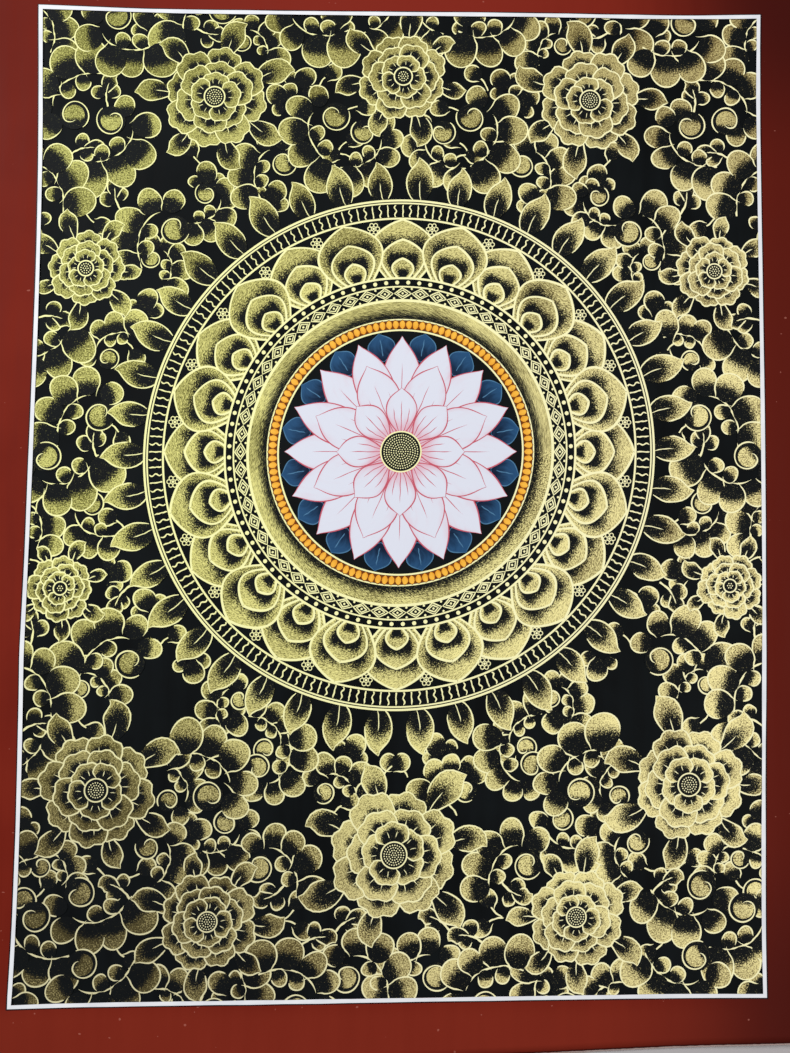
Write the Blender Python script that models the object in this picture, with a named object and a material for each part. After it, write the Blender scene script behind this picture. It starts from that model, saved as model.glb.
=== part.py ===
"""A thangka painting on cloth, lying on a flat surface: one hand-cut piece of primed cotton canvas.

The picture is a black ground with gold work, in the middle of a brick-red painted margin.
+Z is up, the top of the picture is towards +Y, and the canvas rests on z = 0. The origin is the
middle of the canvas's box, on the surface below it. All sizes are in metres.
"""

import math

import bmesh
import bpy

# The picture, and the margins that are left round it.
PICTURE_WIDTH = 0.380
PICTURE_HEIGHT = 0.510
SIDE_MARGIN = 0.030
TOP_MARGIN = 0.031
BOTTOM_MARGIN_LEFT = 0.035  # the bottom edge was cut on a slant
BOTTOM_MARGIN_RIGHT = 0.0218
THICKNESS = 0.001

# The canvas's box, with the origin in its middle, and the picture's sides in it.
RIGHT = PICTURE_WIDTH / 2 + SIDE_MARGIN
TOP = (BOTTOM_MARGIN_LEFT + PICTURE_HEIGHT + TOP_MARGIN) / 2
PICTURE_RIGHT = PICTURE_WIDTH / 2
PICTURE_TOP = TOP - TOP_MARGIN
PICTURE_BOTTOM = PICTURE_TOP - PICTURE_HEIGHT
CUT_SLANT = BOTTOM_MARGIN_LEFT - BOTTOM_MARGIN_RIGHT

# A hand-cut edge isn't quite straight: between its corners it runs a little inwards, and the
# bottom edge a little outwards.
SIDE_BOW = 0.0010
TOP_BOW = 0.0014
BOTTOM_BOW = -0.0021

# Where the rim has sprung up from the surface, as canvas does that was once rolled. Each place is
# given by its highest point, how far it reaches across and along the canvas, and its height.
LIFTS = (
    {"x": -RIGHT, "y": TOP, "reach_x": 0.115, "reach_y": 0.130, "height": 0.0036},
    {"x": RIGHT, "y": TOP, "reach_x": 0.085, "reach_y": 0.095, "height": 0.0026},
    {"x": RIGHT, "y": -TOP, "reach_x": 0.095, "reach_y": 0.085, "height": 0.0026},
    {"x": -RIGHT, "y": -TOP, "reach_x": 0.070, "reach_y": 0.080, "height": 0.0026},
    {"x": 0.060, "y": TOP, "reach_x": 0.110, "reach_y": 0.042, "height": 0.0019},
    {"x": -0.050, "y": -TOP, "reach_x": 0.090, "reach_y": 0.038, "height": 0.0016},
    {"x": -RIGHT, "y": 0.045, "reach_x": 0.046, "reach_y": 0.115, "height": 0.0024},
    {"x": RIGHT, "y": -0.070, "reach_x": 0.040, "reach_y": 0.105, "height": 0.0018},
)

# The net that the canvas is bent along: lines in each margin, and lines across the picture.
MARGIN_STEPS = 2
PICTURE_STEPS_ACROSS = 22
PICTURE_STEPS_ALONG = 30

RED_PAINT = {"color": (0.170, 0.019, 0.012, 1.0), "roughness": 0.62, "metallic": 0.0}
BLACK_AND_GOLD = {"color": (0.225, 0.205, 0.110, 1.0), "roughness": 0.50, "metallic": 0.15}
BARE_COTTON = {"color": (0.700, 0.660, 0.570, 1.0), "roughness": 0.90, "metallic": 0.0}
RED_SLOT, PICTURE_SLOT, COTTON_SLOT = range(3)


def clear_scene():
    for thing in list(bpy.data.objects):
        bpy.data.objects.remove(thing, do_unlink=True)


def finish_material(name, color, roughness, metallic):
    material = bpy.data.materials.new(name)
    material.use_nodes = True
    shader = material.node_tree.nodes["Principled BSDF"]
    shader.inputs["Base Color"].default_value = color
    shader.inputs["Roughness"].default_value = roughness
    shader.inputs["Metallic"].default_value = metallic
    return material


def blend(low, high, share):
    return low + (high - low) * share


def line_place(step, picture_steps, low, picture_low, picture_high, high):
    """Where a line of the net lies: evenly in each margin, and evenly across the picture."""
    if step <= MARGIN_STEPS:
        return blend(low, picture_low, step / MARGIN_STEPS)
    step -= MARGIN_STEPS
    if step <= picture_steps:
        return blend(picture_low, picture_high, step / picture_steps)
    return blend(picture_high, high, (step - picture_steps) / MARGIN_STEPS)


def bow(share, depth):
    """How far a cut edge has strayed at a share of its length."""
    return depth * math.sin(math.pi * share) ** 2


def bend(distance):
    """A soft hump: 1 at its middle, and 0, with no kink, where the canvas meets the surface."""
    return math.cos(math.pi / 2 * min(distance, 1.0)) ** 2


def height(x, y):
    """How high the underside lies above the surface."""
    total = 0.0
    for lift in LIFTS:
        away = math.hypot((x - lift["x"]) / lift["reach_x"], (y - lift["y"]) / lift["reach_y"])
        if away < 1.0:
            total += lift["height"] * bend(away)
    return total


def canvas_point(column, row):
    """A crossing of the net, from the columns and rows counted at the bottom left corner."""
    columns = PICTURE_STEPS_ACROSS + 2 * MARGIN_STEPS
    rows = PICTURE_STEPS_ALONG + 2 * MARGIN_STEPS
    side = RIGHT - bow(row / rows, SIDE_BOW)
    top = TOP - bow(column / columns, TOP_BOW)
    bottom = -TOP + CUT_SLANT * column / columns + bow(column / columns, BOTTOM_BOW)
    x = line_place(column, PICTURE_STEPS_ACROSS, -side, -PICTURE_RIGHT, PICTURE_RIGHT, side)
    y = line_place(row, PICTURE_STEPS_ALONG, bottom, PICTURE_BOTTOM, PICTURE_TOP, top)
    return x, y, height(x, y)


def in_picture(face):
    middle = face.calc_center_median()
    return abs(middle.x) < PICTURE_RIGHT and PICTURE_BOTTOM < middle.y < PICTURE_TOP


def painted_canvas():
    """The canvas as one thin sheet: a net of faces bent to shape, then given its thickness."""
    columns = PICTURE_STEPS_ACROSS + 2 * MARGIN_STEPS
    rows = PICTURE_STEPS_ALONG + 2 * MARGIN_STEPS
    sheet = bmesh.new()
    bmesh.ops.create_grid(sheet, x_segments=columns, y_segments=rows, size=0.5)
    for vertex in sheet.verts:
        column = round((vertex.co.x + 0.5) * columns)
        row = round((vertex.co.y + 0.5) * rows)
        vertex.co = canvas_point(column, row)
    for face in sheet.faces:
        face.material_index = COTTON_SLOT
    raised = bmesh.ops.extrude_face_region(sheet, geom=sheet.faces[:])["geom"]
    front = [piece for piece in raised if isinstance(piece, bmesh.types.BMFace)]
    for vertex in {vertex for face in front for vertex in face.verts}:
        vertex.co.z += THICKNESS
    for face in front:
        face.material_index = PICTURE_SLOT if in_picture(face) else RED_SLOT
    bmesh.ops.recalc_face_normals(sheet, faces=sheet.faces[:])

    mesh = bpy.data.meshes.new("painted_canvas")
    sheet.to_mesh(mesh)
    sheet.free()
    mesh.materials.append(finish_material("brick-red margin paint", **RED_PAINT))
    mesh.materials.append(finish_material("black ground with gold", **BLACK_AND_GOLD))
    mesh.materials.append(finish_material("bare primed cotton", **BARE_COTTON))
    mesh.shade_smooth()
    mesh.set_sharp_from_angle(angle=math.radians(40))
    canvas = bpy.data.objects.new("painted_canvas", mesh)
    bpy.context.scene.collection.objects.link(canvas)
    return canvas


clear_scene()
painted_canvas()
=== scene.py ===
# %% [markdown]
# # A black-and-gold painting on cotton canvas
#
# The real object is one piece of cotton canvas that was primed, painted and cut off its frame by
# hand. It lies almost flat. Everything that shows is paint: a black ground, gold work in two
# manners (dry, stippled shading, and crisp brush lines on top of it), a few other colours, a white
# ruled line, and a brick-red margin.
#
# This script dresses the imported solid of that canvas. It makes the cloth as a thin sheet on the
# solid's own shape, lays every mark of the brush on it as a small net of faces, and joins the nets
# of each paint. So the picture isn't an image: it can be lit, baked and looked at from any side.

import functools
import math

import bmesh
import bpy
import numpy as np
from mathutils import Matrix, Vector
from mathutils.bvhtree import BVHTree


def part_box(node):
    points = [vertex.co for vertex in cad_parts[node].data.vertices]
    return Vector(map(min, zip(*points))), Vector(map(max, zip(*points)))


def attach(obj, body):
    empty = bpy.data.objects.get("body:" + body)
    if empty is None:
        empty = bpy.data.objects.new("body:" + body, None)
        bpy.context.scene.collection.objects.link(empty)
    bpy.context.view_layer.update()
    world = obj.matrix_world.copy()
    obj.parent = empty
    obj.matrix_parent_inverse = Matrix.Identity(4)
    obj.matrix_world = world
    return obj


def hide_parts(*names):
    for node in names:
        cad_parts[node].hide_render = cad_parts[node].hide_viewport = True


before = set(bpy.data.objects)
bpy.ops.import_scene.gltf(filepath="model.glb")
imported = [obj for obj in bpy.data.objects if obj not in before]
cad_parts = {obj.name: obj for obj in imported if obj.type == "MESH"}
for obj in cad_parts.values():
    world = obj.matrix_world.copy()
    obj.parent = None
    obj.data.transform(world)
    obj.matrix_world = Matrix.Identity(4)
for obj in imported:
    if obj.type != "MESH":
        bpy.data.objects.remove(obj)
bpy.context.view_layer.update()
canvas_low, canvas_high = (Vector(corner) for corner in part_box("painted_canvas"))
print("the canvas's box, in metres:", tuple(canvas_high - canvas_low))

# %% [markdown]
# ## Sizes
#
# The solid says how large the cloth is and where it lies. The rest are the painter's sizes: the
# picture inside its margins, and how thick a brush line is. The picture is worked out in
# millimetres, from its own middle, with a complex number for each place: x across, and y up the
# picture. That makes turning and moving a brush path a matter of one multiplication or sum.

# %% Sizes
MM = 0.001
PICTURE_WIDTH = 380.0
PICTURE_HEIGHT = 510.0
BOTTOM_MARGIN = 35.0  # at the left corner, where it is widest
PICTURE_MIDDLE = complex(0, canvas_low.y / MM + BOTTOM_MARGIN + PICTURE_HEIGHT / 2)
HALF_WIDTH, HALF_HEIGHT = PICTURE_WIDTH / 2, PICTURE_HEIGHT / 2
COAT = 0.012  # how far one coat of paint lies above the next
TURN = 2 * math.pi
print("the picture's middle lies at y =", round(PICTURE_MIDDLE.imag, 2), "mm")

# %% [markdown]
# ## A short way to write materials
#
# A procedural material is arithmetic on numbers that change over the surface. Each node's output
# is wrapped in a small class that knows plus, minus and times, so that a sum in the script is a
# sum in the node tree. All other nodes come from one method: the node's type, its settings, and
# what goes into its sockets.

# %% Shader arithmetic
class Amount:
    """A node's output, with arithmetic that adds Math nodes."""

    def __init__(self, finish, socket):
        self.finish, self.socket = finish, socket

    def _math(self, operation, first, second):
        return self.finish.node("ShaderNodeMath", {"operation": operation}, {0: first, 1: second})

    def __add__(self, other):
        return self._math("ADD", self, other)

    def __sub__(self, other):
        return self._math("SUBTRACT", self, other)

    def __rsub__(self, other):
        return self._math("SUBTRACT", other, self)

    def __mul__(self, other):
        return self._math("MULTIPLY", self, other)

    def higher(self, other):
        return self._math("MAXIMUM", self, other)

    __radd__, __rmul__ = __add__, __mul__

# %% Nodes and colours
PAINT_DEPTH = 0.00003  # metres between the hollows and the ridges of a coat of paint


class Finish:
    """A material: its surface shader, and the ways in which this script adds nodes to it."""

    def __init__(self, name, **plain):
        self.material = bpy.data.materials.new(name)
        self.material.use_nodes = True
        self.nodes = self.material.node_tree.nodes
        self.links = self.material.node_tree.links
        self.surface = self.nodes["Principled BSDF"]
        self.give(**plain)

    def give(self, **values):
        """Set sockets of the surface shader, each named with _ for a space."""
        for name, value in values.items():
            self.set(self.surface.inputs[name.replace("_", " ")], value)

    def set(self, socket, value):
        if isinstance(value, Amount):
            self.links.new(value.socket, socket)
        else:
            socket.default_value = value

    def node(self, kind, settings={}, values={}, output=0):
        """Add a node: its type, its settings, what goes into its sockets, and which output is used."""
        node = self.nodes.new(kind)
        for name, setting in settings.items():
            setattr(node, name, setting)
        for name, value in values.items():
            self.set(node.inputs[name], value)
        return Amount(self, node.outputs[output])

    def place(self):
        """Where on the piece, in metres."""
        return self.node("ShaderNodeTexCoord", output="Object")

    def parts_of(self, place):
        """How far across, up and above a place lies."""
        split = self.node("ShaderNodeSeparateXYZ", {}, {0: place}).socket.node
        return [Amount(self, split.outputs[axis]) for axis in "XYZ"]

    def grain(self, place, size, detail=2.0, stretch=(1.0, 1.0, 1.0), roughness=0.5):
        """Noise whose grains are about `size` across, from 0 to 1, in the place's own unit."""
        spread = self.node("ShaderNodeMapping", {}, {"Vector": place, "Scale": stretch})
        values = {"Vector": spread, "Scale": 1 / size, "Detail": detail, "Roughness": roughness}
        return self.node("ShaderNodeTexNoise", {}, values)

    def ramp(self, amount, low, high):
        """0 below `low`, 1 above `high`, and soft between."""
        values = {"Value": amount, "From Min": low, "From Max": high}
        return self.node("ShaderNodeMapRange", {"interpolation_type": "SMOOTHSTEP"}, values)

    def blend(self, first, second, share):
        """The first colour, turning to the second as the share goes from 0 to 1."""
        values = {0: share, 6: first, 7: second}  # a Mix node's sockets for colours
        return self.node("ShaderNodeMix", {"data_type": "RGBA"}, values, output=2)

    def away_from(self, place, across, up):
        """How far the place lies from a spot on the cloth."""
        settings, values = {"operation": "DISTANCE"}, {0: place, 1: (across, up, 0)}
        return self.node("ShaderNodeVectorMath", settings, values, "Value")

    def attribute(self, name):
        """A number that the mesh holds for each of its points."""
        return self.node("ShaderNodeAttribute", {"attribute_name": name}, output="Fac")

    def brush_way(self):
        """Across and along the stroke, in millimetres."""
        return self.node("ShaderNodeUVMap", {"uv_map": "brush"})

    def relief(self, height, depth=PAINT_DEPTH):
        """Bumps `depth` metres high where the height is 1."""
        values = {"Height": height, "Distance": depth, "Strength": 1.0}
        self.give(Normal=self.node("ShaderNodeBump", {}, values, output="Normal"))


def paint(red, green, blue):
    """A colour as a screen shows it, from 0 to 255, in the linear numbers that a shader takes."""
    shares = [channel / 255 for channel in (red, green, blue)]
    return (*[s / 12.92 if s < 0.04045 else ((s + 0.055) / 1.055) ** 2.4 for s in shares], 1.0)

# %% [markdown]
# ## The cloth
#
# The solid is a coarse sheet: its faces are some 17 mm wide. The cloth is a finer net of the same
# outline and the same lie. Both are read off the solid: its outermost points give the four cut
# edges, and a ray dropped on it at each crossing of the net gives the height, which is then
# smoothed so that no facet of the solid shows. The net is extruded down by the cloth's thickness,
# and that makes the back and the cut rim.

# %% The cloth's outline
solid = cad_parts["painted_canvas"].data
solid_points = np.array([vertex.co for vertex in solid.vertices])
RIM_DEPTH = {0: 0.0030, 1: 0.0140}  # how far in from the box a cut edge's points may lie


def cut_edge(axis, side):
    """One cut edge of the solid: a function from the place along it to the place across."""
    outward = solid_points[:, axis] * side
    rim = solid_points[outward > outward.max() - RIM_DEPTH[axis]]
    rim = rim[np.argsort(rim[:, 1 - axis])]
    return lambda along: np.interp(along, rim[:, 1 - axis], rim[:, axis])


left_edge, right_edge = cut_edge(0, -1), cut_edge(0, 1)
bottom_edge, top_edge = cut_edge(1, -1), cut_edge(1, 1)
print("the bottom edge runs from y =", bottom_edge(-0.22), "to", bottom_edge(0.22))

# %% The cloth's net
CLOTH_COLUMNS, CLOTH_ROWS = 96, 124
CLOTH_THICKNESS = 0.001
SMOOTHINGS = 10
JUST_INSIDE = 0.9995
solid_tree = BVHTree.FromPolygons(
    [vertex.co for vertex in solid.vertices], [tuple(face.vertices) for face in solid.polygons]
)


def top_of(tree, x, y):
    """The height of a mesh's upper side at a place, just inside the rim if that is on it."""
    hit = tree.ray_cast(Vector((x * JUST_INSIDE, y * JUST_INSIDE, 1.0)), Vector((0, 0, -1)))[0]
    return hit.z if hit else None


def cloth_places():
    """The net's crossings on the solid's upper side, as rows of columns of x, y and z."""
    across, along = np.meshgrid(np.linspace(0, 1, CLOTH_COLUMNS), np.linspace(0, 1, CLOTH_ROWS))
    x = canvas_low.x + (canvas_high.x - canvas_low.x) * across
    y = bottom_edge(x) + (top_edge(x) - bottom_edge(x)) * along
    x = left_edge(y) + (right_edge(y) - left_edge(y)) * across
    z = np.array([top_of(solid_tree, *place) for place in zip(x.flat, y.flat)]).reshape(x.shape)
    for _ in range(SMOOTHINGS):
        wide = np.pad(z, 1, mode="reflect", reflect_type="odd")
        z = (wide[:-2, 1:-1] + wide[2:, 1:-1] + wide[1:-1, :-2] + wide[1:-1, 2:] + 4 * z) / 8
    return np.stack([x, y, z], axis=2)


cloth_net = cloth_places()
print("the cloth's upper side lies between", cloth_net[..., 2].min(), "and", cloth_net[..., 2].max())

# %% The cloth's mesh
FRONT_SHARE = 0.86  # of the baked map's height; the back and the rim share the rest
MAP_GAP = 0.01  # left free between the two
PAINTED, COTTON = 0, 1


def cloth_mesh():
    """The net as a closed sheet, with a map that gives most of its room to the painted side."""
    rows, columns = cloth_net.shape[:2]
    sheet = bmesh.new()
    bmesh.ops.create_grid(sheet, x_segments=columns - 1, y_segments=rows - 1, size=1)
    for vertex, place in zip(sheet.verts, cloth_net.reshape(-1, 3)):
        vertex.co = place
    sheet.verts.ensure_lookup_table()
    for row, next_row in ((0, 1), (rows - 1, rows - 2)):  # split each corner face from its corner
        for column, next_column in ((0, 1), (columns - 1, columns - 2)):
            ends = row * columns + column, next_row * columns + next_column
            bmesh.ops.connect_verts(sheet, verts=[sheet.verts[end] for end in ends])
    front = sheet.faces[:]
    below = bmesh.ops.extrude_face_region(sheet, geom=front, use_keep_orig=True)["geom"]
    back = [piece for piece in below if isinstance(piece, bmesh.types.BMFace)]
    for vertex in {vertex for face in back for vertex in face.verts}:
        vertex.co.z -= CLOTH_THICKNESS
    bmesh.ops.recalc_face_normals(sheet, faces=sheet.faces[:])
    baked = sheet.loops.layers.uv.new("OFBake")
    size = canvas_high - canvas_low
    for face in sheet.faces:
        painted = face.normal.z > 0.5
        face.material_index = PAINTED if painted else COTTON
        face.smooth = abs(face.normal.z) > 0.5
        for corner in face.loops:
            across = (corner.vert.co.x - canvas_low.x) / size.x
            along = (corner.vert.co.y - canvas_low.y) / size.y
            if painted:
                corner[baked].uv = (across, along * FRONT_SHARE)
            else:
                corner[baked].uv = (across, 1 - along * (1 - FRONT_SHARE - MAP_GAP))
    mesh = bpy.data.meshes.new("canvas_cloth")
    sheet.to_mesh(mesh)
    sheet.free()
    x, y, _ = np.array([vertex.co for vertex in mesh.vertices]).T
    gaps = x - left_edge(y), right_edge(y) - x, y - bottom_edge(x), top_edge(x) - y
    from_cut = mesh.attributes.new("from_cut", "FLOAT", "POINT")  # millimetres from the cut edge
    from_cut.data.foreach_set("value", np.min(gaps, axis=0) / MM)
    return mesh


cloth = bpy.data.objects.new("canvas_cloth", cloth_mesh())
bpy.context.scene.collection.objects.link(cloth)
cloth_tree = BVHTree.FromPolygons(
    [vertex.co for vertex in cloth.data.vertices],
    [tuple(face.vertices) for face in cloth.data.polygons],
)
print("the cloth has", len(cloth.data.polygons), "faces")

# %% [markdown]
# ## Laying paint on the cloth
#
# Every mark is a small net of places: a leaf is a few columns wide, and a brush line two. The nets
# of one paint are gathered in a list and become one mesh, or two for the gold shading, which would
# be too large a piece. Blender's own grid says which crossings make a face, so a net only has to
# know where its crossings lie.
#
# A coarse raster of the picture knows the highest and the lowest coat at each place. A mark can go
# over all that it meets, as the roundel's rings do, or under all of it, as a leaf does that grows
# out from behind another. The coats are about 0.01 mm apart: enough to tell them apart, and too
# little to see. The painter's frame isn't quite square, so each place is moved by the same few
# leans and bows just before it is laid on the cloth.

# %% The painter's hand
HAND = np.random.default_rng(11)  # the hand's small unevenness, the same at each run

# How far the ruled line strays from a rectangle, in millimetres, and where its two left bows meet.
SIDE_LEAN, TOP_LEAN = 1.24, 2.11
UPPER_BOW, LOWER_BOW, RIGHT_BOW, TOP_BOW, BOTTOM_BOW = 1.91, 0.92, 1.53, 0.13, 0.08
BOWS_MEET = -0.32


def hand_ruled(places):
    """The picture isn't quite square: it leans, and its left side is bowed in, in two bows."""
    across, along = places.real / HALF_WIDTH, places.imag / HALF_HEIGHT
    left, top = (1 - across) / 2, (1 + along) / 2
    upper_bow = np.sin(np.pi * np.clip((along - BOWS_MEET) / (1 - BOWS_MEET), 0, 1))
    lower_bow = np.sin(np.pi * np.clip((BOWS_MEET - along) / (1 + BOWS_MEET), 0, 1))
    right_bow = np.sin(np.pi * along / 2) ** 2
    inward = (UPPER_BOW * upper_bow + LOWER_BOW * lower_bow) * left
    inward = inward - RIGHT_BOW * right_bow * (1 - left)
    upward = (TOP_BOW * top + BOTTOM_BOW * (1 - top)) * np.cos(np.pi * across / 2)
    return places + inward + SIDE_LEAN * along + 1j * (upward + TOP_LEAN * across)


def clipped(places):
    """Places outside the picture are brought to its edge, where the white line hides them."""
    across = np.clip(places.real, -HALF_WIDTH, HALF_WIDTH)
    return across + 1j * np.clip(places.imag, -HALF_HEIGHT, HALF_HEIGHT)

# %% Nets of paint
FIRST_COAT = 0.04  # millimetres between the cloth and the lowest coat
SHORTEST_EDGE = 0.000002  # metres


@functools.cache
def grid_faces(rows, columns):
    """The corner numbers of a flat grid's faces, with so many crossings each way."""
    plain = bmesh.new()
    bmesh.ops.create_grid(plain, x_segments=columns - 1, y_segments=rows - 1, size=1)
    faces = np.array([[corner.index for corner in face.verts] for face in plain.faces])
    plain.free()
    return faces


class Paint:
    """All the marks of one paint, gathered as nets and made into one mesh on the cloth."""

    def __init__(self, name):
        self.name, self.nets = name, []

    def mark(self, places, coat, shade=1.0, clip=True, dabbed=False):
        """Add a net. The brush runs along it, or, where it is dabbed on, in no direction."""
        places = clipped(places) if clip else places
        shade = np.broadcast_to(shade, places.shape)
        turning = np.conj(np.diff(places[:-1], axis=1)) * np.diff(places[:, :-1], axis=0)
        if np.sum(turning.imag) < 0:  # its faces would look down
            places, shade = places[:, ::-1], shade[:, ::-1]
        steps_across = np.abs(np.diff(places, axis=1, prepend=places[:, :1]))
        middle = places[:, places.shape[1] // 2]
        along = np.cumsum(np.abs(np.diff(middle, prepend=middle[:1])))
        stroke = places if dabbed else np.cumsum(steps_across, axis=1) + 1j * along[:, None]
        way = stroke + 40 * HAND.random()  # no two marks show the same part of a pattern
        self.nets.append((places, np.full(places.shape, float(coat)), shade, way))

    def on_cloth(self, lowest):
        """The gathered marks as a mesh object, in metres, lying on the cloth."""
        self.nets.sort(key=lambda net: net[1][0, 0])  # a baked map keeps the last, so the highest
        flat = [[net[part].ravel() for net in self.nets] for part in range(4)]
        places, levels, shades, ways = (np.concatenate(parts) for parts in flat)
        sizes = [net[0].shape for net in self.nets]
        starts = np.cumsum([0] + [rows * columns for rows, columns in sizes])
        faces = [grid_faces(*size) + start for size, start in zip(sizes, starts)]
        places = (hand_ruled(places) + PICTURE_MIDDLE) * MM
        tops = np.array([top_of(cloth_tree, place.real, place.imag) for place in places])
        heights = tops + (FIRST_COAT + (levels - lowest) * COAT) * MM
        points = np.stack([places.real, places.imag, heights], axis=1)
        mesh = bpy.data.meshes.new(self.name)
        mesh.from_pydata(points, [], np.concatenate(faces))
        mesh.attributes.new("shade", "FLOAT", "POINT").data.foreach_set("value", shades)
        corners = np.empty(len(mesh.loops), int)
        mesh.loops.foreach_get("vertex_index", corners)
        baked = (points[:, :2] - points[:, :2].min(axis=0)) / np.ptp(points[:, :2], axis=0)
        brushed = np.stack([ways.real, ways.imag], axis=1)
        for title, map_places in (("OFBake", baked), ("brush", brushed)):
            layer = mesh.uv_layers.new(name=title)
            layer.data.foreach_set("uv", map_places[corners].ravel())
        tidy = bmesh.new()
        tidy.from_mesh(mesh)
        bmesh.ops.dissolve_degenerate(tidy, dist=SHORTEST_EDGE, edges=tidy.edges[:])
        loose = [vertex for vertex in tidy.verts if not vertex.link_faces]
        bmesh.ops.delete(tidy, geom=loose, context="VERTS")
        turned = [face for face in tidy.faces if face.normal.z < 0]
        bmesh.ops.reverse_faces(tidy, faces=turned)
        tidy.to_mesh(mesh)
        tidy.free()
        piece = bpy.data.objects.new(self.name, mesh)
        bpy.context.scene.collection.objects.link(piece)
        print(self.name, "has", len(self.nets), "marks and", len(mesh.polygons), "faces")
        return piece

# %% Coats of paint
def halved(places, axis):
    """The net with a place added half-way between each two of its own."""
    places = np.moveaxis(places, axis, 0)
    finer = np.repeat(places, 2, axis=0)[:-1]
    finer[1::2] = (places[1:] + places[:-1]) / 2
    return np.moveaxis(finer, 0, axis)


class Coats:
    """A raster of the picture that knows which coats of paint lie at each place."""

    PITCH = 1.5  # millimetres

    def __init__(self):
        size = int(PICTURE_HEIGHT / self.PITCH) + 1, int(PICTURE_WIDTH / self.PITCH) + 1
        self.highest, self.lowest = np.zeros(size, int), np.zeros(size, int)
        self.bare = np.ones(size, bool)
        rows, columns = np.indices(size)
        corner = complex(-HALF_WIDTH, -HALF_HEIGHT)
        self.middles = corner + self.PITCH * (columns + 0.5 + 1j * (rows + 0.5))

    def cell(self, places):
        """The rows and the columns of the cells in which places lie."""
        inside = clipped(places)
        rows = ((inside.imag + HALF_HEIGHT) / self.PITCH).astype(int)
        return rows, ((inside.real + HALF_WIDTH) / self.PITCH).astype(int)

    def cells(self, places):
        """The cells that a net covers, which are bare no more."""
        for axis in (0, 1, 0, 1):
            places = halved(places, axis)
        cells = self.cell(places.ravel())
        self.bare[cells] = False
        return cells

    def is_bare(self, places):
        """Whether no paint lies at any of the places yet."""
        return self.bare[self.cell(places)].all()

    def over(self, places):
        """The number of a new coat over all that a net meets."""
        cells = self.cells(places)
        self.highest[cells] = self.highest[cells].max() + 1
        return self.highest[cells][0]

    def under(self, places):
        """The number of a new coat under all that a net meets."""
        cells = self.cells(places)
        self.lowest[cells] = self.lowest[cells].min() - 1
        return self.lowest[cells][0]


coats = Coats()
ground = Paint("black_ground")
shading = Paint("gold_shading")  # of leaves
petal_shading = Paint("gold_petal_shading")  # apart, so that each of the two has under 200,000 triangles
lines = Paint("gold_lines")

# %% [markdown]
# ## The painter's strokes
#
# A path is a row of places. A brush line follows it with a width that swells and wanders a little
# and tapers where the brush lands and lifts. A leaf or a petal is a net round its middle line: one
# formula gives its half-width from a few sizes, so the same lines make a lance, a flame, a rib and
# a lotus petal. A lobe is a disc with an uneven rim. Both are gold at the rim and fade to black, and
# their outlines stay open where they fade.

# %% Paths and nets
OUTLINE = 0.72  # the width of a gold outline, in millimetres
SWELL, SWAY = 0.16, 0.10  # how much a line's width changes, as a share, and its way, in millimetres
LIGHT_CORNER, LIGHTER_BY = complex(-190, 255), 0.22  # the lines are thinner towards this corner,
LIGHT_FAR, LIGHT_NEAR = 330, 80  # from this far off it to this near


def toward(angle):
    """One millimetre in a direction."""
    return np.exp(1j * np.asarray(angle))


def brush_path(start, heading, length, bend=0.0, curl=0.0, steps=12):
    """A path that turns evenly by `bend` on its way, and by `curl` near its end."""
    share = np.linspace(0, 1, steps)
    ahead = toward(heading + bend * share + curl * share**4)
    moves = (ahead[1:] + ahead[:-1]) / 2
    return start + np.concatenate([[0], np.cumsum(moves)]) * length / (steps - 1)


def sideways(path):
    """One millimetre to the left of the way ahead, at each place of a path."""
    ahead = np.gradient(path)
    return 1j * ahead / np.maximum(np.abs(ahead), 1e-9)


def strip(path, width):
    """A net of two columns along a path."""
    half = sideways(path) * width / 2
    return np.stack([path - half, path + half], axis=1)


def brush_line(brush, path, width, coat, landing=0.5, lifting=0.25):
    """A painted line, with its ends tapered to these shares of its width."""
    share = np.linspace(0, 1, len(path))
    taper = np.minimum(1, np.minimum(landing + share * 7, lifting + (1 - share) * 5))
    phase, turns, wander = HAND.random(3)
    swell = 1 + SWELL * np.sin(TURN * (phase + share * (1 + 2 * turns)))
    swell = swell * (1 - LIGHTER_BY * soft_step(np.abs(path - LIGHT_CORNER), LIGHT_FAR, LIGHT_NEAR))
    sway = SWAY * np.sin(TURN * (wander + share * (1 + 2 * phase)))
    brush.mark(strip(path + sideways(path) * sway, width * taper * swell), coat)


def side_lines(brush, net, width, coat, landing=0.5, lifting=0.25):
    """A painted line along each side of a net."""
    for side in (net[:, 0], net[:, -1]):
        brush_line(brush, side, width, coat, landing, lifting)


def leaf_net(spine, width, widest=0.6, point=0.9, foot=0.0, columns=5):
    """A net round a middle line, `widest` at that share of it and drawn out to a point."""
    share = np.linspace(foot, 1, len(spine))
    power = math.log(0.5) / math.log(widest)
    half = width / 2 * np.maximum(np.sin(np.pi * share**power), 0) ** (0.72 + point * share**6)
    return spine[:, None] + (sideways(spine) * half)[:, None] * np.linspace(-1, 1, columns)


def soft_step(amount, low, high):
    """0 at `low`, 1 at `high`, and soft between."""
    share = np.clip((amount - low) / (high - low), 0, 1)
    return share * share * (3 - 2 * share)


def net_shares(net):
    """For each crossing of a net, how far along it lies, and how far out from the middle."""
    along, out = (np.linspace(low, 1, size) for low, size in zip((0, -1), net.shape))
    return along[:, None], np.abs(out)[None, :]


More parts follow.
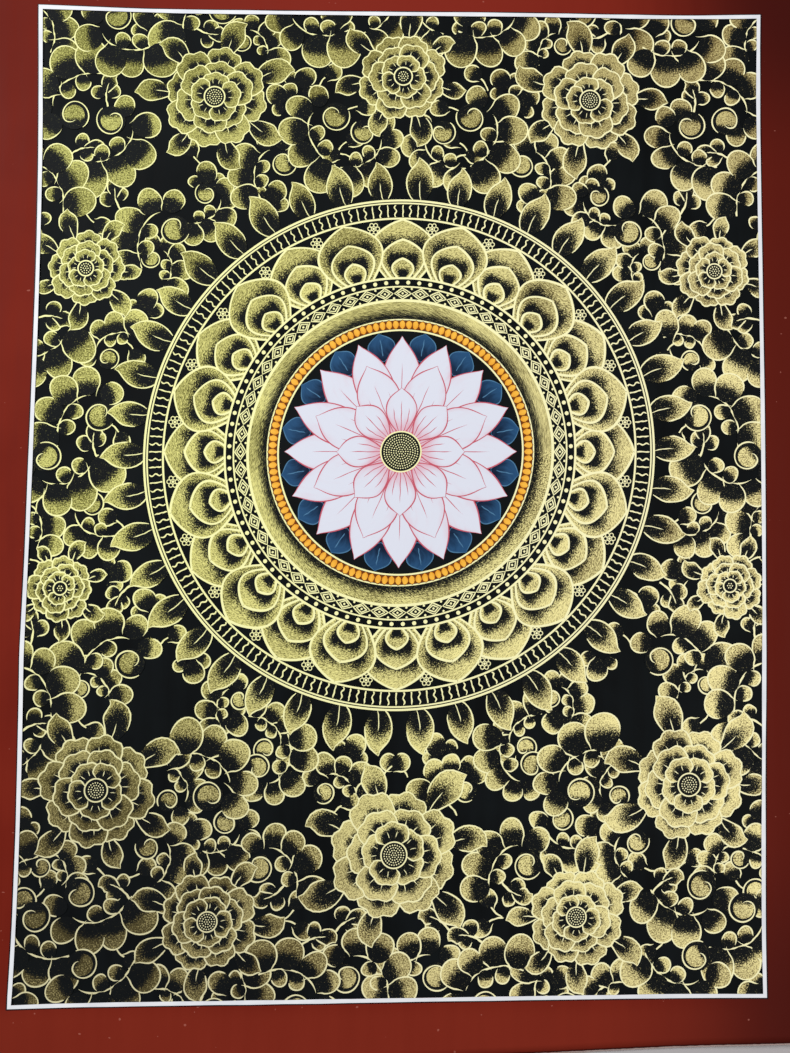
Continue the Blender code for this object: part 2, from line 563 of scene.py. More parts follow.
def leaf(start, heading, length, width, bend, curl, dark, widest=0.6, point=0.9):
    """A leaf with gold at its tip and rim, and a black foot at which its outline stays open."""
    spine = brush_path(start, heading, length, bend, curl, steps=13)
    net = leaf_net(spine, width, widest, point)
    coat = coats.under(net)
    along, out = net_shares(net)
    shading.mark(net, coat, soft_step(along + 0.3 * (out**2 - 0.35), dark, dark + 0.5))
    first, second = HAND.permutation([0, -1])
    brush_line(lines, net[1:, first], OUTLINE, coat + 0.5)
    brush_line(lines, net[int(13 * HAND.uniform(0.25, 0.5)) :, second], OUTLINE, coat + 0.5)
    brush_line(lines, spine[1:7], OUTLINE * 0.7, coat + 0.5, lifting=0.1)


def lobe(middle, radius, outward, sense, dark=0.45):
    """A rounded lobe, gold on its outer side. Its outline runs on into the black as a hook."""
    tilt, dent, lumps = HAND.uniform(-0.6, 0.6), HAND.uniform(0.02, 0.09), HAND.uniform(0, 6)

    def rim(turns):
        reach = 0.97 + dent * np.cos(2 * turns + tilt) + 0.025 * np.cos(3 * turns + lumps)
        return radius * reach * toward(outward + turns)

    net = middle + np.linspace(0, 1, 6)[:, None] * rim(np.linspace(-np.pi, np.pi, 21))[None, :]
    turns = sense * np.linspace(-HAND.uniform(1.3, 1.9), HAND.uniform(1.9, 2.4), 19)
    arc = middle + rim(turns)
    onward = outward + turns[-1] + sense * (np.pi / 2 + 0.15)
    hook = brush_path(arc[-1], onward, radius * HAND.uniform(0.5, 1.0), bend=-sense * 0.5, steps=6)
    if coats.is_bare(hook[1:]):
        arc = np.concatenate([arc, hook[1:]])
    coat = coats.under(net)
    out = (net - middle) / toward(outward) / radius
    gold = soft_step(out.real * 0.5 + 0.5 + 0.16 * np.abs(out) ** 3, dark, dark + 0.46)
    shading.mark(net, coat, gold, dabbed=True)
    brush_line(lines, arc, OUTLINE, coat + 0.5, lifting=0.15)


def round_net(middle, inner, outer, rings, around):
    """A net that goes all the way round between two radii."""
    reach = np.linspace(inner, outer, rings)[:, None]
    return middle + reach * toward(np.linspace(0, TURN, around))[None, :]


def disc(brush, middle, radius, coat, around=9):
    """A round dab of paint."""
    brush.mark(round_net(middle, 0, radius, 2, around), coat)


def ring(brush, middle, radius, width, coat, steps=289):
    """A ruled circle."""
    brush.mark(strip(middle + radius * toward(np.linspace(0, TURN, steps)), width), coat)


def every_other(count):
    """The numbers below a count, first the even ones, so that like things overlap in turn."""
    return [*range(0, count, 2), *range(1, count, 2)]

# %% [markdown]
# ## Blossoms and foliage
#
# The field is filled with common flower and leaf forms. A blossom is a few rings of broad,
# scalloped petals, with lance leaves round it. Between the blossoms grow clouds, which are stems
# that curl up to a rolled tip and carry overlapping round lobes, sprays of a leaf and two lobes,
# and lobes by twos and threes or alone on a stalk. Each is laid under what is there, so the first
# ones are those that lie on top.

# %% Blossoms
SCALLOPS = 3  # on the rim of a broad petal
SEED_PITCH = 1.25  # millimetres


def fan(middle, heading, spread, inner, outer):
    """A broad petal's net: part of a ring, with a scalloped rim and rounded shoulders."""
    across = np.linspace(-1, 1, 15)
    bite = np.abs(np.sin(np.pi * SCALLOPS * (across + 1) / 2))
    rim = outer * (0.92 + 0.08 * bite) * (1 - 0.30 * np.abs(across) ** 3)
    share = np.linspace(0, 1, 8)[:, None]
    reach = inner + (rim[None, :] - inner) * share
    widen = 0.45 + 0.55 * np.sin(np.pi / 2 * share)
    return middle + reach * toward(heading + spread / 2 * across[None, :] * widen)


def broad_petal(middle, heading, spread, inner, outer, dark):
    """Gold at the rim, an outline that stays open at the foot, and two fine veins."""
    net = fan(middle, heading, spread, inner, outer)
    coat = coats.under(net)
    along, out = net_shares(net)
    petal_shading.mark(net, coat, soft_step(along + 0.20 * out**2, dark, dark + 0.30))
    outline = np.concatenate([net[3:, 0], net[-1, 1:-1], net[:2:-1, -1]])
    brush_line(lines, outline, OUTLINE, coat + 0.5)
    for column in (5, 9):
        brush_line(lines, net[3:-2, column], 0.45, coat + 0.5, lifting=0.1)


def seed_head(middle, radius, lay):
    """Gold dots on black, inside a gold line. `lay` puts them over or under what is there."""
    net = round_net(middle, 0, radius, 4, 25)
    coat = lay(net)
    petal_shading.mark(net, coat, 0.0)
    ring(lines, middle, radius, OUTLINE, coat + 0.5, steps=37)
    for number in range(int(radius / SEED_PITCH)):
        reach = number * SEED_PITCH
        count = max(1, round(TURN * number))
        for step in range(count):
            place = middle + reach * toward(TURN * step / count + number)
            disc(lines, place, 0.36, coat + 0.5, around=7)


def blossom(middle, radius, facing):
    """A many-petalled flower: its seeds, then its petals from the inner to the outer ones."""
    seed_head(middle, radius * 0.20, coats.under)
    for count, reach, inner in ((5, 0.50, 0.12), (6, 0.76, 0.25), (8, 1.0, 0.4)):
        spread = TURN / count * 1.30
        turn = facing + HAND.uniform(-0.25, 0.25)
        for number in every_other(count):
            heading = turn + TURN * number / count + HAND.uniform(-0.06, 0.06)
            outer = radius * reach * HAND.uniform(0.94, 1.05)
            broad_petal(middle, heading, spread, radius * inner, outer, HAND.uniform(0.46, 0.66))

# %% Foliage
LANCES = 7  # pointed leaves round each blossom


def lance_leaves(middle, radius, facing):
    """Pointed leaves all round a blossom, from behind it."""
    for number in every_other(LANCES):
        heading = facing + TURN * number / LANCES + HAND.uniform(-0.12, 0.12)
        lean = HAND.choice((-1, 1)) * HAND.uniform(0.3, 0.8)
        size = radius * 0.80 * HAND.uniform(0.85, 1.2)
        leaf(middle + radius * 0.75 * toward(heading), heading - lean / 2, size, size * 0.52,
             bend=lean, curl=lean, dark=HAND.uniform(0.25, 0.5))


def stem_line(path, width, lifting=0.25):
    """A stem's line, under what is there."""
    brush_line(lines, path, width, coats.under(strip(path, width)), 0.8, lifting)


def curl(middle, radius, outward, sense):
    """A leaf's rolled-up tip: a disc in a black ring, and a line that winds round and into it."""
    net = round_net(middle, 0, radius, 5, 19)
    coat = coats.under(net)
    out = (net - middle) / toward(outward) / radius
    shading.mark(net, coat, soft_step(out.real * 0.5 + 0.5, 0.12, 0.50), dabbed=True)
    ring_net = middle + (net - middle) * 1.4
    shading.mark(ring_net, coats.under(ring_net), 0.0)
    winding = outward + sense * np.linspace(-2.6, 3.3, 34)
    away = radius * np.interp(np.linspace(0, 1, 34), (0, 0.45, 0.80, 1), (1.42, 1.30, 0.98, 0.45))
    brush_line(lines, middle + away * toward(winding), OUTLINE, coat + 0.5, lifting=0.3)


def cloud(start, heading, size, sense):
    """A stem that curls up to a rolled tip, with round lobes on its outer side and a few inside."""
    length = size * 2.9
    spine = brush_path(start, heading, length, bend=sense * 2.0, curl=sense * 2.6, steps=60)
    ahead, last = np.angle(np.gradient(spine)), len(spine) - 1
    curl(spine[-1], size * 0.26, ahead[-1] + sense * 0.4, sense)
    shares, radii, share = [], [], 0.08
    while share < 0.90:
        radii.append(size * (0.44 - 0.17 * share) * HAND.uniform(0.86, 1.12))
        shares.append(share)
        share += radii[-1] * 1.38 / length
    for number in every_other(len(shares)):
        at, radius = int(shares[number] * last), radii[number]
        outward = ahead[at] - sense * HAND.uniform(1.25, 1.7)
        lobe(spine[at] + toward(outward) * radius * 0.62, radius, outward, sense,
             dark=HAND.uniform(0.24, 0.48))
    for share in (0.16, 0.36):
        at = int(share * last)
        inward = ahead[at] + sense * 1.3
        lobe(spine[at] + toward(inward) * size * 0.36, size * 0.20, inward, -sense, dark=0.35)
    stem = spine[:40] + toward(ahead[:40] + sense * 1.57) * size * 0.14
    stem_line(stem, 0.9, lifting=0.1)


def spray(start, heading, length, sense):
    """A short stem with a pointed leaf at its tip and a lobe on each side of it."""
    stem = brush_path(start, heading, length * 0.48, bend=sense * 0.6, steps=20)
    stem_line(stem, 1.0)
    ahead = np.angle(np.gradient(stem))
    leaf(stem[-4], ahead[-1], length * 0.60, length * 0.40, bend=sense * 0.4, curl=sense * 1.1,
         dark=HAND.uniform(0.35, 0.55))
    for side in (1, -1):
        outward = ahead[-5] + side * HAND.uniform(0.9, 1.2)
        lobe(stem[-5] + toward(outward) * length * 0.20, length * HAND.uniform(0.16, 0.21), outward,
             side, dark=HAND.uniform(0.40, 0.60))


def lobe_pair(start, heading, size, sense):
    """Two or three round lobes on a short stalk."""
    for lean, share in ((0.0, 1.0), (0.9, 0.72), (-1.0, 0.60)):
        outward = heading + sense * lean
        lobe(start + toward(outward) * size * (0.95 - 0.2 * abs(lean)), size * 0.62 * share, outward,
             sense, dark=HAND.uniform(0.36, 0.58))


def tailed_lobe(start, heading, size, sense):
    """One lobe at the end of a thin, curved stalk."""
    stalk = brush_path(start, heading, size * 1.1, bend=sense * 0.9)
    outward = np.angle(stalk[-1] - stalk[-2])
    lobe(stalk[-1] + toward(outward) * size * 0.2, size * 0.5, outward, sense, dark=0.40)
    stem_line(stalk, 0.8, lifting=0.5)

# %% [markdown]
# ## The roundel
#
# The picture is a plain lotus mandala: rings of petals, ribs, pearls, diamonds and rays round one
# middle, in a field of foliage. It is made of common motifs, and a few radii lay it out. The rings
# lie on a plain black disc, which hides the leaves that run under it.

# %% The roundel's bands
ROUNDEL = complex(0, 22)
DISC_RADIUS = 133.5
pale = Paint("pale_petals")
red_lines = Paint("fine_red_lines")
blue = Paint("blue_petals")
blue_lines = Paint("light_blue_lines")
ribs = Paint("orange_ribs")
rib_lines = Paint("brown_rib_lines")


def spaced(count, start=0.0):
    """The headings of a ring of like things."""
    return [start + TURN * number / count for number in every_other(count)]


def on_ring(radius, heading):
    """A place so far from the roundel's middle, in that direction."""
    return ROUNDEL + radius * toward(heading)


def band(inner, outer, rings=5, around=577):
    """A net over one band of the roundel."""
    return round_net(ROUNDEL, inner, outer, rings, around)


def ruled_circles(*circles):
    """Gold circles, each of a radius and a width."""
    for radius, width in circles:
        coat = coats.over(band(radius - width / 2, radius + width / 2, 2))
        ring(lines, ROUNDEL, radius, width, coat)


def brushed_band(inner, outer):
    """A broad gold band, dense at its rim and worn to black inwards."""
    net = band(inner, outer, 9, 289)
    coat = coats.over(net)
    along, _ = net_shares(net)
    petal_shading.mark(net, coat, 0.05 + 0.80 * soft_step(along, 0.0, 0.8))
    for radius in (inner, outer):
        ring(lines, ROUNDEL, radius, OUTLINE, coat + 0.5)


def diamond_band(inner, outer, count):
    """Nested diamonds in a row, with a dot in each."""
    half_height, half_width = (outer - inner) / 2, TURN * (inner + outer) / 4 / count
    middle = (inner + outer) / 2
    coat = coats.over(band(inner, outer))
    for number in range(count):
        heading = TURN * number / count
        for size in (0.94, 0.58):
            corners = np.array([1, 0, -1, 0, 1]) * half_height * size
            aside = np.array([0, 1, 0, -1, 0]) * half_width * size
            shares = np.linspace(0, 4, 17)
            up, over = (np.interp(shares, range(5), side) for side in (corners, aside))
            path = on_ring(middle + up, heading + over / middle)
            brush_line(lines, path, 0.6, coat + 0.5, landing=1, lifting=1)
        disc(lines, on_ring(middle, heading), 0.6, coat + 0.5)
        for side in (inner + 0.6, outer - 0.6):
            disc(lines, on_ring(side, heading + TURN / count / 2), 0.6, coat + 0.5)


def pearls(radius, count, size):
    """A ring of gold dots."""
    coat = coats.over(band(radius - size, radius + size, 3))
    for number in range(count):
        disc(lines, on_ring(radius, TURN * (number + 0.5) / count), size, coat)


def ray_ring(inner, outer, count):
    """Straight and wavy rays by turns."""
    coat = coats.over(band(inner, outer))
    reach = np.linspace(inner, outer, 12)
    for number in range(count):
        wave = 0.5 * np.sin(np.linspace(0, 3.2 * np.pi, 12)) * (number % 2)
        path = on_ring(reach + 1j * wave, TURN * number / count)
        brush_line(lines, path, 0.7, coat + 0.5, landing=1, lifting=0.4)

# %% The roundel's petals
def nested_petal(foot, heading, length, width):
    """A tall petal of three nested arches: each a gold rim round a black hollow."""
    for share, hollow in ((1.0, 0.52), (0.66, 0.50), (0.33, 0.30)):
        spine = brush_path(foot, heading, length * share, steps=23)
        net = leaf_net(spine, width * share, widest=0.60, point=0.05, foot=0.22, columns=11)
        coat = coats.over(net)
        along, out = net_shares(net)
        gold = soft_step(np.maximum(out**1.5, along), hollow, hollow + 0.34)
        petal_shading.mark(net, coat, gold)
        arch = np.concatenate([net[:, 0], net[::-1, -1]])
        brush_line(lines, arch, 1.1, coat + 0.5, landing=1, lifting=1)


def lotus_ring(inner, outer, count):
    """Nested petals that overlap by a fifth."""
    width = TURN * (inner + outer) / 2 / count * 1.22
    for heading in spaced(count):
        nested_petal(on_ring(inner, heading), heading, outer - inner, width)


def lotus_petal(inner, heading, length, width):
    """One pale petal: its body, and the fine red lines that model it."""
    spine = brush_path(on_ring(inner, heading), heading, length, steps=27)
    net = leaf_net(spine, width, widest=0.55, point=0.45, columns=9)
    coat = coats.over(net)
    along, out = net_shares(net)
    pale.mark(net, coat, np.clip(0.9 * (1 - soft_step(along, 0.0, 0.6)) + 0.4 * out**4, 0, 1))
    side_lines(red_lines, net, 0.58, coat + 0.5)
    for column, reach in ((4, 20), (2, 16), (6, 16)):
        brush_line(red_lines, net[1:reach, column], 0.38, coat + 0.5, lifting=0.0)


def blue_petal(inner, heading, length, width):
    """A deep blue petal, lighter at its tip, with a light blue outline and middle vein."""
    spine = brush_path(on_ring(inner, heading), heading, length, steps=21)
    net = leaf_net(spine, width, widest=0.52, point=0.5)
    coat = coats.over(net)
    blue.mark(net, coat, net_shares(net)[0])
    side_lines(blue_lines, net, 0.5, coat + 0.5)
    brush_line(blue_lines, net[4:-4, 2], 0.5, coat + 0.5)


def ribbed_ring(inner, outer, count):
    """An orange-gold ring of narrow ribs, each a little bulged and in its own outline."""
    width = TURN * (inner + outer) / 2 / count * 1.04
    base = band(inner + 0.3, outer - 0.3, 2, 289)
    rib_lines.mark(base, coats.over(base))
    for heading in spaced(count):
        spine = brush_path(on_ring(inner, heading), heading, outer - inner, steps=9)
        net = leaf_net(spine, width, widest=0.5, point=-0.5)
        coat = coats.over(net)
        along, out = net_shares(net)
        ribs.mark(net, coat, 0.55 + 0.5 * along - 0.5 * out**2)
        side_lines(rib_lines, net, 0.42, coat + 0.5, landing=1, lifting=1)


def rosette(middle, size, coat):
    """A small flower of six loops round a dot, on black."""
    disc(lines, middle, size * 0.20, coat)
    for number in range(6):
        loop = middle + size * 0.62 * toward(TURN * number / 6)
        ring(lines, loop, size * 0.30, 0.45, coat, steps=13)


def flame_ring(inner, outer, count):
    """Leaves that lean one way round the roundel, like tongues of flame."""
    for heading in spaced(count):
        reach = (outer - inner) * HAND.uniform(0.92, 1.08)
        leaf(on_ring(inner, heading), heading + 0.35, reach * 1.2, reach * 0.66, bend=-0.9, curl=1.1,
             dark=0.30, widest=0.45, point=0.6)


# %% The roundel
RAYS, LOTUS, DIAMONDS = (124.0, 130.6), (91.6, 122.6), (80.2, 86.4)  # inner and outer radii
BRUSHED, RIBS, ROSETTES = (69.4, 79.2), (64.2, 69.2), (114.0, 122.4)
SEEDS = 10.5

ground.mark(band(0, DISC_RADIUS, 12, 193), coats.over(band(0, DISC_RADIUS, 45)))
ruled_circles((DISC_RADIUS - 0.6, 1.1), (131.4, 0.8))
ray_ring(*RAYS, 200)
ruled_circles((123.2, 1.0))
lotus_ring(*LOTUS, 24)
rosette_coat = coats.over(band(*ROSETTES))
for number in range(24):
    rosette(on_ring(118.6, TURN * (number + 0.5) / 24), 3.4, rosette_coat)
ruled_circles((91.4, 1.1), (86.9, 0.8))
pearls(89.1, 96, 1.1)
diamond_band(*DIAMONDS, 56)
ruled_circles((79.8, 0.9))
brushed_band(*BRUSHED)
ribbed_ring(*RIBS, 120)
ruled_circles((63.8, 0.9))
for petal_heading in spaced(16, TURN / 32):
    blue_petal(48, petal_heading, 15.0, 14)
for petals, reach, breadth, first in ((16, 52, 20, 0), (8, 40, 22, TURN / 16), (8, 25, 16, 0)):
    for petal_heading in spaced(petals, first):
        lotus_petal(8.5, petal_heading, reach, breadth)
seed_head(ROUNDEL, SEEDS, coats.over)
flame_ring(DISC_RADIUS - 2, 152, 42)
print("coats of paint in the roundel:", coats.highest.max())

# %% [markdown]
# ## The field
#
# A table gives the left half's blossoms, and the right half mirrors it. The rest of the field finds
# its own place, as a painter's foliage does: look for the widest bare spot, let a leaf form that
# fits it grow into it from the nearest painted place, and go on until only narrow strips of black
# are left. The widest bare spot comes from the raster: its bare cells are worn away from their
# edges, one cell at a time, and the last to go lie deepest.

# %% The blossoms of the field
BLOSSOMS = (  # across, up, radius
    (0, -184, 33), (-94, -216, 25), (-152, -150, 29), (-173, -48, 17), (-166, 118, 20),
    (-100, 210, 27), (0, 222, 24),
)


def sides(place, heading=0.0, sense=1):
    """A thing's place and heading, and those of its mirror image."""
    return (place, heading, sense), (-place.conjugate(), np.pi - heading, -sense)


for form in (blossom, lance_leaves):
    for across, up, radius in BLOSSOMS:
        both = sides(complex(across, up), HAND.uniform(0, 6))
        for place, facing, _ in both if across else both[:1]:
            form(place, radius, facing)
print("coats of paint in the blossoms:", -coats.lowest.min())

# %% Foliage that fills the field
SMALLEST_GAP = 6.0  # millimetres from a bare spot's middle to its edge
OPEN_GROUND = ((-122, -106, 19), (-128, 166, 18), (-50, -158, 14), (-176, 62, 9))  # stays black


def bare_depth():
    """How many cells deep the bare ground lies at each cell of the raster."""
    bare = coats.bare & ~open_ground
    depth = bare.astype(int)
    while bare.any():
        wide = np.pad(bare, 1, mode="edge")
        bare = bare & wide[:-2, 1:-1] & wide[2:, 1:-1] & wide[1:-1, :-2] & wide[1:-1, 2:]
        depth += bare
    return depth


def form_for(gap):
    """The leaf form that fills a bare spot of this half-width, its size, and how far it leans."""
    if gap > 10:
        return cloud, min(gap + 3, 21), 0.9
    if gap > 8.5:
        return spray, gap * 2.3, 0.0
    if gap > 7:
        return lobe_pair, gap * 1.25, 0.0
    return tailed_lobe, gap * 1.6, 0.4


open_ground = np.zeros(coats.bare.shape, bool)
for across, up, radius in OPEN_GROUND:
    for place, _, _ in sides(complex(across, up)):
        open_ground |= np.abs(coats.middles - place) < radius
grown = 0
while True:
    depth = bare_depth()
    depth[coats.middles.real > 0] = 0
    deepest = np.unravel_index(depth.argmax(), depth.shape)
    gap, middle = depth[deepest] * coats.PITCH, coats.middles[deepest]
    if gap < SMALLEST_GAP:
        break
    painted = coats.middles[~coats.bare]
    nearest = painted[np.abs(painted - middle).argmin()]
    heading = np.angle(middle - nearest)
    sense = 1 if HAND.random() < 0.5 else -1
    form, size, lean = form_for(gap)
    for place, way, turning in sides(nearest - 2.5 * toward(heading), heading + sense * lean, -sense):
        form(place, way, size, turning)
    # The spot, its mirror image and three places between them count as painted from now on.
    coats.cells(np.array([[middle] * 2, [-middle.conjugate()] * 2]))
    grown += 1
print("leaf forms grown into the field, on each side:", grown)
print("coats of paint in the field:", -coats.lowest.min())

# %% [markdown]
# ## Finishes
#
# All of the paints are matt and thin. What tells them apart is how they were laid: the black ground
# and the red margin with a flat brush, in long faint streaks; the gold shading with an almost dry
# brush, so that it breaks into grains that thin out to black; the lines with a full, fine brush.
# The shading's finish compares the mark's own shade with a fine grain, and where the shade wins
# there is gold. The grain and the streaks also change the gloss and raise the paint a little.
#
# The tones also change over the whole cloth. The gold has a painted tint of the light, greener at
# the top left and more tan elsewhere, a painted pool of light right of the middle, and painted
# shade in the lower left corner. The margin has painted shade down the right side and in three
# corners, and painted light at the top. White priming shows along the cut.

# %% Grounds
def streaked(name, dark, light, size):
    """A paint laid with a flat brush: long faint streaks, a slow mottle, and the canvas's grain."""
    finish = Finish(name, Specular_IOR_Level=0.07)
    place = finish.place()
    streaks = finish.grain(place, size, stretch=(1.0, 0.08, 1.0), detail=4)
    mottle = finish.grain(place, 0.06, detail=3)
    share = finish.ramp(streaks * 0.35 + mottle * 0.65, 0.30, 0.70)
    fine = finish.grain(place, 0.0007, detail=1)
    finish.give(Roughness=0.7 + (streaks - 0.5) * 0.3)
    finish.relief(fine + streaks * 0.5)
    return finish, place, finish.blend(dark, light, share)


BLACK_DARK, BLACK_LIGHT = paint(7, 9, 10), paint(16, 20, 22)


def black_ground():
    """Blue-black, and almost even."""
    finish, _, colour = streaked("black ground", BLACK_DARK, BLACK_LIGHT, 0.007)
    finish.give(Base_Color=colour)
    return finish.material


def red_margin():
    """Brick red, with painted shade on the right and in three corners and painted light at the top.
    The priming shows at the cut.
    """
    finish, place, colour = streaked("brick-red margin", paint(108, 27, 15), paint(120, 34, 20), 0.006)
    across, up, _ = finish.parts_of(place)
    colour = finish.blend(colour, paint(128, 42, 27), finish.ramp(-1 * up, 0.250, 0.264) * 0.6)
    # Painted shade down the right side of the margin.
    colour = finish.blend(colour, paint(90, 23, 13), finish.ramp(across, 0.150, 0.205))
    # Painted light on the margin towards the top middle.
    painted_top_light = finish.ramp(finish.away_from(place, -0.01, 0.30), 0.22, 0.04)
    colour = finish.blend(colour, paint(127, 37, 25), painted_top_light)
    # Painted shade in the bottom right, top right and top left corners.
    for corner, reach, strength in (((0.22, -0.28), 0.12, 0.5), ((0.22, 0.288), 0.12, 0.75),
                                    ((-0.22, 0.288), 0.20, 0.2)):
        painted_corner_shade = finish.ramp(finish.away_from(place, *corner), reach, 0.03) * strength
        colour = finish.blend(colour, paint(54, 11, 8), painted_corner_shade)
    lint = finish.ramp(finish.grain(place, 0.0021, detail=0), 0.86, 0.88) * 0.4
    colour = finish.blend(colour, paint(190, 120, 105), lint)
    from_cut = finish.attribute("from_cut") + (finish.grain(place, 0.003) - 0.5) * 0.5
    colour = finish.blend(paint(66, 14, 11), colour, finish.ramp(from_cut, 0.9, 1.7))
    colour = finish.blend(paint(226, 200, 192), colour, finish.ramp(from_cut, 0.45, 0.75))
    finish.give(Base_Color=colour)
    return finish.material


def primed_cotton():
    """The bare back and rim: white priming in an open, plain weave."""
    finish = Finish("primed cotton", Specular_IOR_Level=0.2)
    place = finish.place()
    threads = []
    for axis in "XY":
        settings = {"wave_type": "BANDS", "bands_direction": axis}
        values = {"Vector": place, "Scale": 330, "Distortion": 1.2, "Detail": 2, "Detail Scale": 2}
        threads.append(finish.node("ShaderNodeTexWave", settings, values, output="Fac"))
    weave = threads[0].higher(threads[1])
    stain = finish.grain(place, 0.045, detail=4)
    tone = finish.ramp(stain * 0.7 + weave * 0.3, 0.35, 0.75)
    colour = finish.blend(paint(205, 192, 172), paint(236, 228, 214), tone)
    finish.give(Base_Color=colour, Roughness=0.95 - 0.15 * weave)
    finish.relief(weave, 0.00012)
    return finish.material

# %% Gold
# Where the gold's painted pool of light and its painted shade lie, in metres.
LIT_MIDDLE = 0.10, -0.06
SHADED_CORNER = -0.18, -0.27


def gold_tones(finish, place):
    """Shares of painted light and shade on the gold: a tint greener at the top left, a lit middle, a
    shaded corner.
    """
    across, up, _ = finish.parts_of(place)
    # A painted tint of the light: greener at the top left, tan to the right and at the bottom.
    tan = finish.ramp(across, -0.17, 0.17).higher(finish.ramp(-1 * up, 0.0, 0.26))
    # A painted pool of light right of the middle, and painted shade in the lower left corner.
    lit = finish.ramp(finish.away_from(place, *LIT_MIDDLE), 0.40, 0.12)
    return tan, lit, finish.ramp(finish.away_from(place, *SHADED_CORNER), 0.24, 0.05)


def dry_gold(name):
    """Gold from a nearly dry brush: grains that thin out to the black ground."""
    finish = Finish(name, Specular_IOR_Level=0.11)
    place, way = finish.place(), finish.brush_way()
    grains = finish.grain(way, 0.72, detail=3, roughness=0.72)
    drag = finish.grain(way, 1.6, stretch=(1.0, 0.5, 1.0))
    patches = finish.grain(place, 0.03)
    shade = finish.attribute("shade")
    tan, lit, corner = gold_tones(finish, place)
    cover = finish.ramp(shade * 0.95 + (grains - 0.5) * 2.2 + (drag - 0.5) * 0.5, 0.22, 0.74)
    rub = grains * 0.85 + drag * 0.15 + (patches - 0.5) * 0.25 + (shade - 0.8) * 0.12
    # The painted pool of light makes the gold look fuller, and the painted shade of the corner
    # thinner.
    thick = finish.ramp(rub + lit * 0.05 - corner * 0.07, 0.43, 0.65)
    # Both golds take the painted tint of the light, and are darker in the painted shade of the corner.
    thin_gold = finish.blend(paint(100, 97, 38), paint(107, 89, 50), tan)
    thin_gold = finish.blend(thin_gold, paint(64, 58, 34), corner * 0.85)
    plain_gold = finish.blend(paint(198, 196, 111), paint(190, 172, 112), tan)
    # lit_gold is a painted highlight of the full gold, for the painted pool of light.
    lit_gold = finish.blend(paint(246, 240, 146), paint(255, 241, 170), tan)
    full_gold = finish.blend(plain_gold, lit_gold, lit)
    full_gold = finish.blend(full_gold, paint(192, 177, 120), corner * 0.85)
    black = finish.blend(BLACK_DARK, BLACK_LIGHT, patches)
    colour = finish.blend(black, finish.blend(thin_gold, full_gold, thick), cover)
    finish.give(Base_Color=colour, Roughness=0.70 - 0.18 * cover, Metallic=cover * 0.12)
    finish.relief(cover * 0.6 + grains * 0.4)
    return finish.material


def full_brush(name, size=1.4):
    """A paint from a full brush, and how thick it is: it follows the mark's shade, and runs thin."""
    finish = Finish(name, Specular_IOR_Level=0.15)
    place = finish.place()
    run = finish.grain(finish.brush_way(), size, stretch=(1.0, 0.35, 1.0), detail=3)
    patches = finish.grain(place, 0.02)
    thick = finish.attribute("shade") + (run - 0.5) * 0.7 + (patches - 0.5) * 0.5
    finish.give(Roughness=0.5 + (run - 0.5) * 0.3)
    finish.relief(run)
    return finish, place, finish.ramp(thick, 0.0, 1.0)


def gold_line():
    """Pale gold from a full brush."""
    finish, place, thick = full_brush("gold line")
    tan, _, corner = gold_tones(finish, place)
    # The line takes the gold's painted tint of the light.
    thin_line = finish.blend(paint(220, 213, 118), paint(226, 210, 142), tan)
    full_line = finish.blend(paint(250, 248, 176), paint(253, 246, 194), tan)
    line = finish.blend(thin_line, full_line, thick)
    # Painted shade in the lower left corner.
    finish.give(Base_Color=finish.blend(line, paint(206, 198, 156), corner * 0.8))
    return finish.material


def hand_laid(name, thin, full, size=1.4):
    """Any other paint from a full brush, with its colours where it is thin and where it is thick."""
    finish, _, thick = full_brush(name, size)
    finish.give(Base_Color=finish.blend(thin, full, thick))
    return finish.material

# %% [markdown]
# ## The ground and the ruled line
#
# The black ground lies below the lowest leaf. The white line is ruled last, over the ends of the
# leaves that run up to it, and a thin dark one lies outside it. Both are nets that run round the
# four corners, with a width that changes a little.

# %% Ground and ruled lines
SIDE_STEPS = 90  # places on each side of a ruled line

lowest = coats.lowest.min() - 2
across = np.linspace(-HALF_WIDTH, HALF_WIDTH, 77)
ground.mark(across[None, :] + 1j * np.linspace(-HALF_HEIGHT, HALF_HEIGHT, 103)[:, None], lowest)
ruled = Paint("white_ruled_line")
dark_rule = Paint("dark_outer_line")
corners = np.array([-1 - 1j, 1 - 1j, 1 + 1j, -1 + 1j, -1 - 1j])
route = np.concatenate([*map(np.linspace, corners, corners[1:], [SIDE_STEPS] * 4)])
steps = np.arange(len(route))
for brush, out, width, coat in ((ruled, 0.7, 2.0, coats.highest.max() + 1), (dark_rule, 2.0, 0.8, 0)):
    uneven = np.interp(steps, steps[::4], HAND.uniform(-0.1, 0.1, len(steps[::4])))
    uneven[-1] = uneven[0]
    edges = [out + side * width / 2 * (1 + uneven) for side in (-1, 1)]
    sides_out = [route.real * (HALF_WIDTH + e) + 1j * route.imag * (HALF_HEIGHT + e) for e in edges]
    brush.mark(np.stack(sides_out, axis=1), coat, 0.45, clip=False)
print("the black ground is coat", lowest, "and the white line is coat", coats.highest.max() + 1)

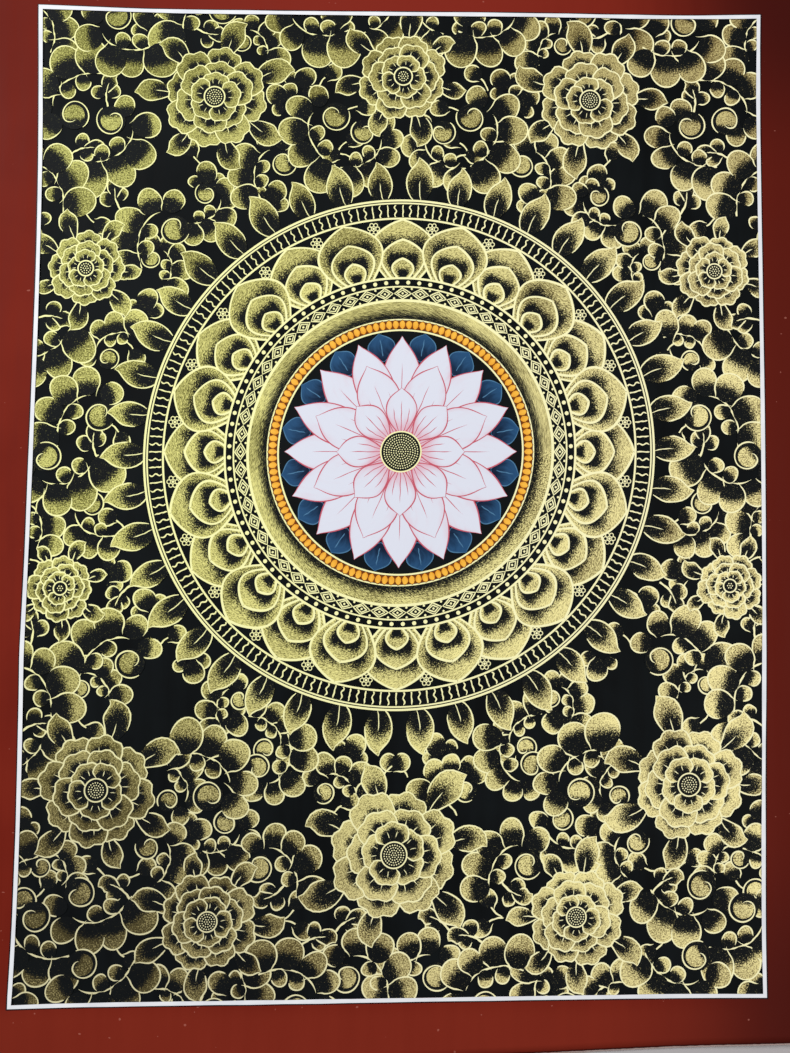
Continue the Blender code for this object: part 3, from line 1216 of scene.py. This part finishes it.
# %% Pieces and their finishes
pieces = {
    ground: black_ground(),
    shading: dry_gold("dry gold on leaves"),
    petal_shading: dry_gold("dry gold on petals"),
    lines: gold_line(),
    pale: hand_laid("lilac white", paint(222, 224, 236), paint(222, 178, 192), size=3),
    red_lines: hand_laid("fine red", paint(224, 124, 136), paint(198, 90, 106)),
    blue: hand_laid("deep blue", paint(10, 26, 50), paint(38, 80, 120), size=2),
    blue_lines: hand_laid("light blue", paint(104, 150, 180), paint(76, 120, 154)),
    ribs: hand_laid("orange gold", paint(226, 140, 26), paint(252, 190, 70)),
    rib_lines: hand_laid("brown line", paint(150, 78, 16), paint(116, 56, 10)),
    ruled: hand_laid("white line", paint(244, 244, 246), paint(214, 216, 224), size=4),
    dark_rule: hand_laid("dark line", paint(40, 22, 24), paint(24, 18, 26), size=4),
}
for brush, material in pieces.items():
    piece = brush.on_cloth(lowest)
    piece.data.materials.append(material)
    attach(piece, "root")
cloth.data.materials.append(red_margin())
cloth.data.materials.append(primed_cotton())
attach(cloth, "root")
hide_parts("painted_canvas")

# %% [markdown]
# ## Surface, camera and light
#
# The canvas lies on a pale grey surface. The camera is a phone's, held 41 cm above it and a little
# askew: its place was solved from points along the ruled line. The light is a large soft window
# beyond the top left, so that the matt paint doesn't mirror it, and a weaker warm room.

# %% Light, floor and camera
PHOTO_HEIGHT = 1053
FOCAL_PIXELS = 791
CAMERA_PLACE = -0.0106, -0.0323, 0.4098  # metres
CAMERA_TILT = 2.446, -1.247, 0.460  # degrees
FLOOR_GAP = 0.0002  # metres below the cloth

floor_mesh = bmesh.new()
bmesh.ops.create_grid(floor_mesh, x_segments=8, y_segments=8, size=1.5)
bmesh.ops.translate(floor_mesh, verts=floor_mesh.verts[:], vec=(0, 0, -FLOOR_GAP))
floor_data = bpy.data.meshes.new("floor")
floor_mesh.to_mesh(floor_data)
floor_mesh.free()
floor = bpy.data.objects.new("floor", floor_data)
bpy.context.scene.collection.objects.link(floor)
floor_data.materials.append(Finish("floor", Base_Color=paint(176, 171, 172), Roughness=0.8).material)

camera_data = bpy.data.cameras.new("camera")
camera_data.sensor_fit = "VERTICAL"
camera_data.sensor_height = 36
camera_data.lens = FOCAL_PIXELS / PHOTO_HEIGHT * 36
camera_data.clip_start = 0.01
camera = bpy.data.objects.new("camera", camera_data)
camera.location = CAMERA_PLACE
camera.rotation_euler = [math.radians(angle) for angle in CAMERA_TILT]
bpy.context.scene.collection.objects.link(camera)
bpy.context.scene.camera = camera
print("the camera stands", round(camera.location.z, 3), "m above the surface")


def soft_light(name, place, size, power, colour):
    """A round, soft light that shines towards the origin."""
    data = bpy.data.lights.new(name, "AREA")
    data.shape, data.size, data.energy, data.color = "DISK", size, power, colour
    light = bpy.data.objects.new(name, data)
    light.location = place
    light.rotation_euler = (-Vector(place)).to_track_quat("-Z", "Y").to_euler()
    bpy.context.scene.collection.objects.link(light)


soft_light("window", place=(-1.3, 0.9, 1.3), size=0.8, power=44, colour=(0.97, 0.99, 1.0))
soft_light("room", place=(1.2, -0.3, 1.2), size=0.8, power=12, colour=(1.0, 0.97, 0.93))
world = bpy.data.worlds.new("room")
world.use_nodes = True
world.node_tree.nodes["Background"].inputs["Color"].default_value = (0.9, 0.92, 1.0, 1)
world.node_tree.nodes["Background"].inputs["Strength"].default_value = 0.12
bpy.context.scene.world = world
bpy.context.scene.view_settings.view_transform = "Standard"
